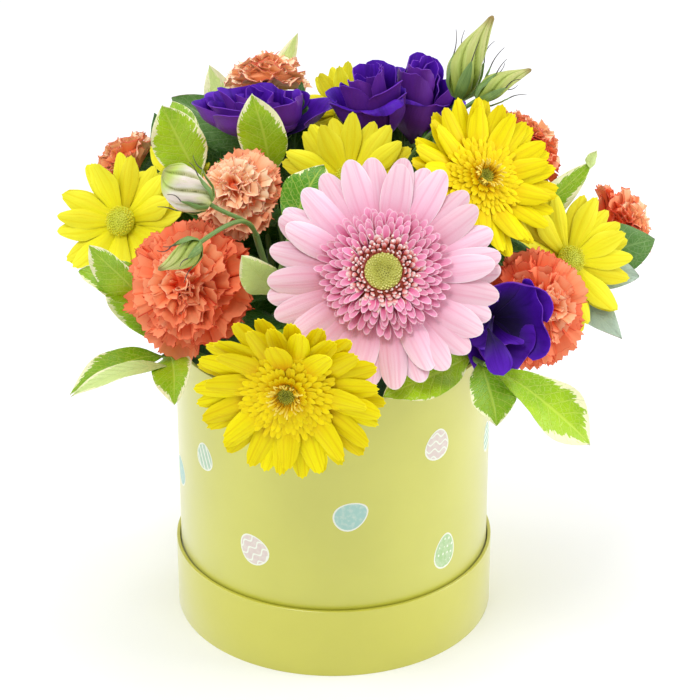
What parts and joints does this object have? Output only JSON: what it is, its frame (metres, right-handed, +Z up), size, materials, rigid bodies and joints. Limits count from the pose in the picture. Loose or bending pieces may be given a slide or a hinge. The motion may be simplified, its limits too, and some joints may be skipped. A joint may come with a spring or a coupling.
{
  "type": "flower hat box",
  "caption": "Round paper-covered hat box standing in its upturned lid, filled with wet floral foam and a dome of fresh gerberas, daisies, carnations, lisianthus and leaves.",
  "frame": {"origin": "centre of the lid's underside, which is the face the arrangement stands on", "axes": "+Z up along the box's own axis, -Y towards the front, where the large pink gerbera and the low yellow gerbera look, +X to the right as seen from the front"},
  "size_m": [0.307, 0.2742, 0.3095],
  "materials": {
    "lid_card": "matte",
    "body_card": "matte",
    "liner_film": "satin",
    "wet_foam": "matte",
    "ray_pink": "matte",
    "floret_pink": "matte",
    "ray_yellow": "matte",
    "floret_gold": "matte",
    "ray_lemon": "matte",
    "disc_green_yellow": "matte",
    "petal_coral": "matte",
    "petal_purple": "matte",
    "stem_green": "satin",
    "leaf_variegated": "satin",
    "leaf_dull": "satin"
  },
  "bodies": {
    "root": {"box_body": "body_card", "carnation_back_bloom": "petal_coral", "carnation_back_stem": "stem_green", "carnation_far_right_bloom": "petal_coral", "carnation_left_bloom": "petal_coral", "carnation_left_stem": "stem_green", "carnation_rear_left_bloom": "petal_coral", "carnation_rear_right_bloom": "petal_coral", "carnation_right_bloom": "petal_coral", "carnation_right_stem": "stem_green", "carnation_spray_left_stem": "stem_green", "carnation_spray_right_stem": "stem_green", "carnation_top_rear_bloom": "petal_coral", "carnation_upper_bloom": "petal_coral", "daisy_back_disc": "disc_green_yellow", "daisy_back_rays": "ray_lemon", "daisy_back_stem": "stem_green", "daisy_left_disc": "disc_green_yellow", "daisy_left_rays": "ray_lemon", "daisy_left_rear_disc": "disc_green_yellow", "daisy_left_rear_rays": "ray_lemon", "daisy_left_stem": "stem_green", "daisy_right_disc": "disc_green_yellow", "daisy_right_rays": "ray_lemon", "daisy_right_stem": "stem_green", "daisy_top_disc": "disc_green_yellow", "daisy_top_rays": "ray_lemon", "daisy_top_rear_disc": "disc_green_yellow", "daisy_top_rear_rays": "ray_lemon", "daisy_top_stem": "stem_green", "floral_foam": "wet_foam", "foliage_front": "leaf_variegated", "foliage_left": "leaf_variegated", "foliage_low_left": "leaf_variegated", "foliage_low_right": "leaf_variegated", "foliage_rear": "leaf_dull", "foliage_right": "leaf_dull", "foliage_top": "leaf_variegated", "foliage_upper_left": "leaf_variegated", "gerbera_front_disc": "floret_gold", "gerbera_front_rays": "ray_yellow", "gerbera_front_stem": "stem_green", "gerbera_pink_disc": "floret_pink", "gerbera_pink_rays": "ray_pink", "gerbera_pink_stem": "stem_green", "gerbera_right_disc": "floret_gold", "gerbera_right_rays": "ray_yellow", "gerbera_right_stem": "stem_green", "lid": "lid_card", "liner": "liner_film", "lisianthus_back_bloom": "petal_purple", "lisianthus_back_stem": "stem_green", "lisianthus_bud_stem": "stem_green", "lisianthus_left_bloom": "petal_purple", "lisianthus_left_stem": "stem_green", "lisianthus_low_bloom": "petal_purple", "lisianthus_low_stem": "stem_green", "lisianthus_top_bloom": "petal_purple", "lisianthus_top_rear_bloom": "petal_purple", "lisianthus_top_stem": "stem_green"}
  },
  "joints": []
}
